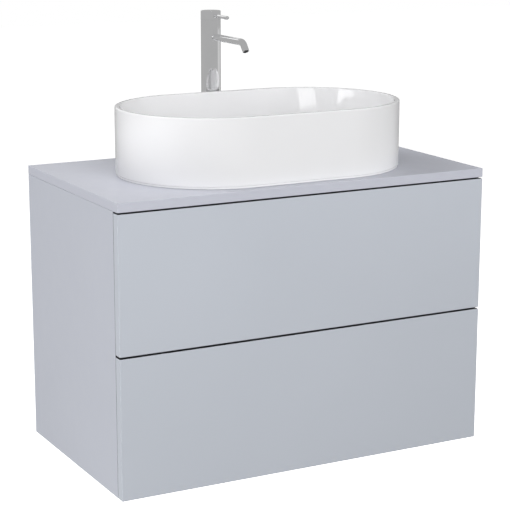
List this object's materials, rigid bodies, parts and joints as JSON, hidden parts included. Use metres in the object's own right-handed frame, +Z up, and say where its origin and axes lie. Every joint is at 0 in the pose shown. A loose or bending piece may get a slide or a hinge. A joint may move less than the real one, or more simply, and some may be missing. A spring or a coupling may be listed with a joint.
{
  "type": "vessel sink vanity",
  "caption": "Wall-hung vanity with handle-less full-width drawers, an oblong vessel basin standing on its worktop and a tall side-spout tap behind it.",
  "frame": {"origin": "centre of the back face of the wall rail that holds the cabinet up, on the plane of the wall", "axes": "+Y into the wall, the drawers face -Y, +X to the right seen from the front, +Z up"},
  "size_m": [0.8, 0.456, 0.869],
  "materials": {
    "worktop_lacquer": "matt lacquered board",
    "front_lacquer": "matt lacquered board",
    "carcass_lacquer": "matt lacquered board",
    "drawer_board": "melamine faced board",
    "galvanised_steel": "zinc plated sheet",
    "steel": "plain",
    "ceramic": "gloss glaze",
    "chrome": "polished",
    "brass": "machined",
    "white_plastic": "moulded",
    "grey_plastic": "moulded",
    "black_plastic": "moulded",
    "rubber": "moulded",
    "silicone": "smooth bead"
  },
  "bodies": {
    "cabinet": {"back_rail_lower": "carcass_lacquer", "back_rail_upper": "carcass_lacquer", "basin": "ceramic", "basin_seal": "silicone", "bottom_panel": "carcass_lacquer", "front_rail": "carcass_lacquer", "hanger_left": "steel", "hanger_right": "steel", "lower_runner_left_cabinet": "galvanised_steel", "lower_runner_right_cabinet": "galvanised_steel", "outlet_pipe": "chrome", "side_panel_left": "carcass_lacquer", "side_panel_right": "carcass_lacquer", "tap_aerator": "black_plastic", "tap_base": "brass", "tap_base_seal": "rubber", "tap_body": "chrome", "tap_cartridge": "white_plastic", "tap_clamp_washer": "steel", "tap_nut": "steel", "tap_spout": "chrome", "tap_stud": "steel", "trap_body": "chrome", "trap_cup": "chrome", "trap_inlet_nut": "chrome", "trap_neck_nut": "chrome", "trap_outlet_nut": "chrome", "trap_tail": "chrome", "upper_runner_left_cabinet": "galvanised_steel", "upper_runner_right_cabinet": "galvanised_steel", "wall_flange": "chrome", "wall_rail": "galvanised_steel", "waste_body": "chrome", "waste_nut": "brass", "waste_seal": "rubber", "worktop": "worktop_lacquer"},
    "upper_drawer": {"upper_drawer_back_left": "drawer_board", "upper_drawer_back_right": "drawer_board", "upper_drawer_bottom": "drawer_board", "upper_drawer_front": "front_lacquer", "upper_drawer_side_left": "drawer_board", "upper_drawer_side_right": "drawer_board", "upper_drawer_trap_surround": "grey_plastic", "upper_runner_left_drawer": "galvanised_steel", "upper_runner_right_drawer": "galvanised_steel"},
    "lower_drawer": {"lower_drawer_back": "drawer_board", "lower_drawer_bottom": "drawer_board", "lower_drawer_front": "front_lacquer", "lower_drawer_side_left": "drawer_board", "lower_drawer_side_right": "drawer_board", "lower_runner_left_drawer": "galvanised_steel", "lower_runner_right_drawer": "galvanised_steel"},
    "upper_runner_middles": {"upper_runner_left_middle": "galvanised_steel", "upper_runner_right_middle": "galvanised_steel"},
    "lower_runner_middles": {"lower_runner_left_middle": "galvanised_steel", "lower_runner_right_middle": "galvanised_steel"},
    "tap_handle": {"tap_cap": "chrome", "tap_lever": "chrome", "tap_stem": "brass"},
    "plug": {"waste_plug": "chrome"}
  },
  "joints": [
    {"name": "upper_drawer_slide", "type": "slide", "parent": "cabinet", "child": "upper_drawer", "axis": [0, -1, 0], "range_m": [-0.0009, 0.35]},
    {"name": "lower_drawer_slide", "type": "slide", "parent": "cabinet", "child": "lower_drawer", "axis": [0, -1, 0], "range_m": [-0.0009, 0.35]},
    {"name": "upper_runner_slide", "type": "slide", "parent": "cabinet", "child": "upper_runner_middles", "axis": [0, -1, 0], "range_m": [-0.00045, 0.175]},
    {"name": "lower_runner_slide", "type": "slide", "parent": "cabinet", "child": "lower_runner_middles", "axis": [0, -1, 0], "range_m": [-0.00045, 0.175]},
    {"name": "tap_handle_turn", "type": "hinge", "parent": "cabinet", "child": "tap_handle", "pos_m": [0, -0.0318, 0.365], "axis": [0, 0, -1], "range_deg": [0, 100]},
    {"name": "waste_plug_lift", "type": "slide", "parent": "cabinet", "child": "plug", "axis": [0, 0, 1], "range_m": [0, 0.008]}
  ],
  "couplings": [
    {"joint": "upper_runner_slide", "follows": "upper_drawer_slide", "ratio": 0.5},
    {"joint": "lower_runner_slide", "follows": "lower_drawer_slide", "ratio": 0.5}
  ]
}
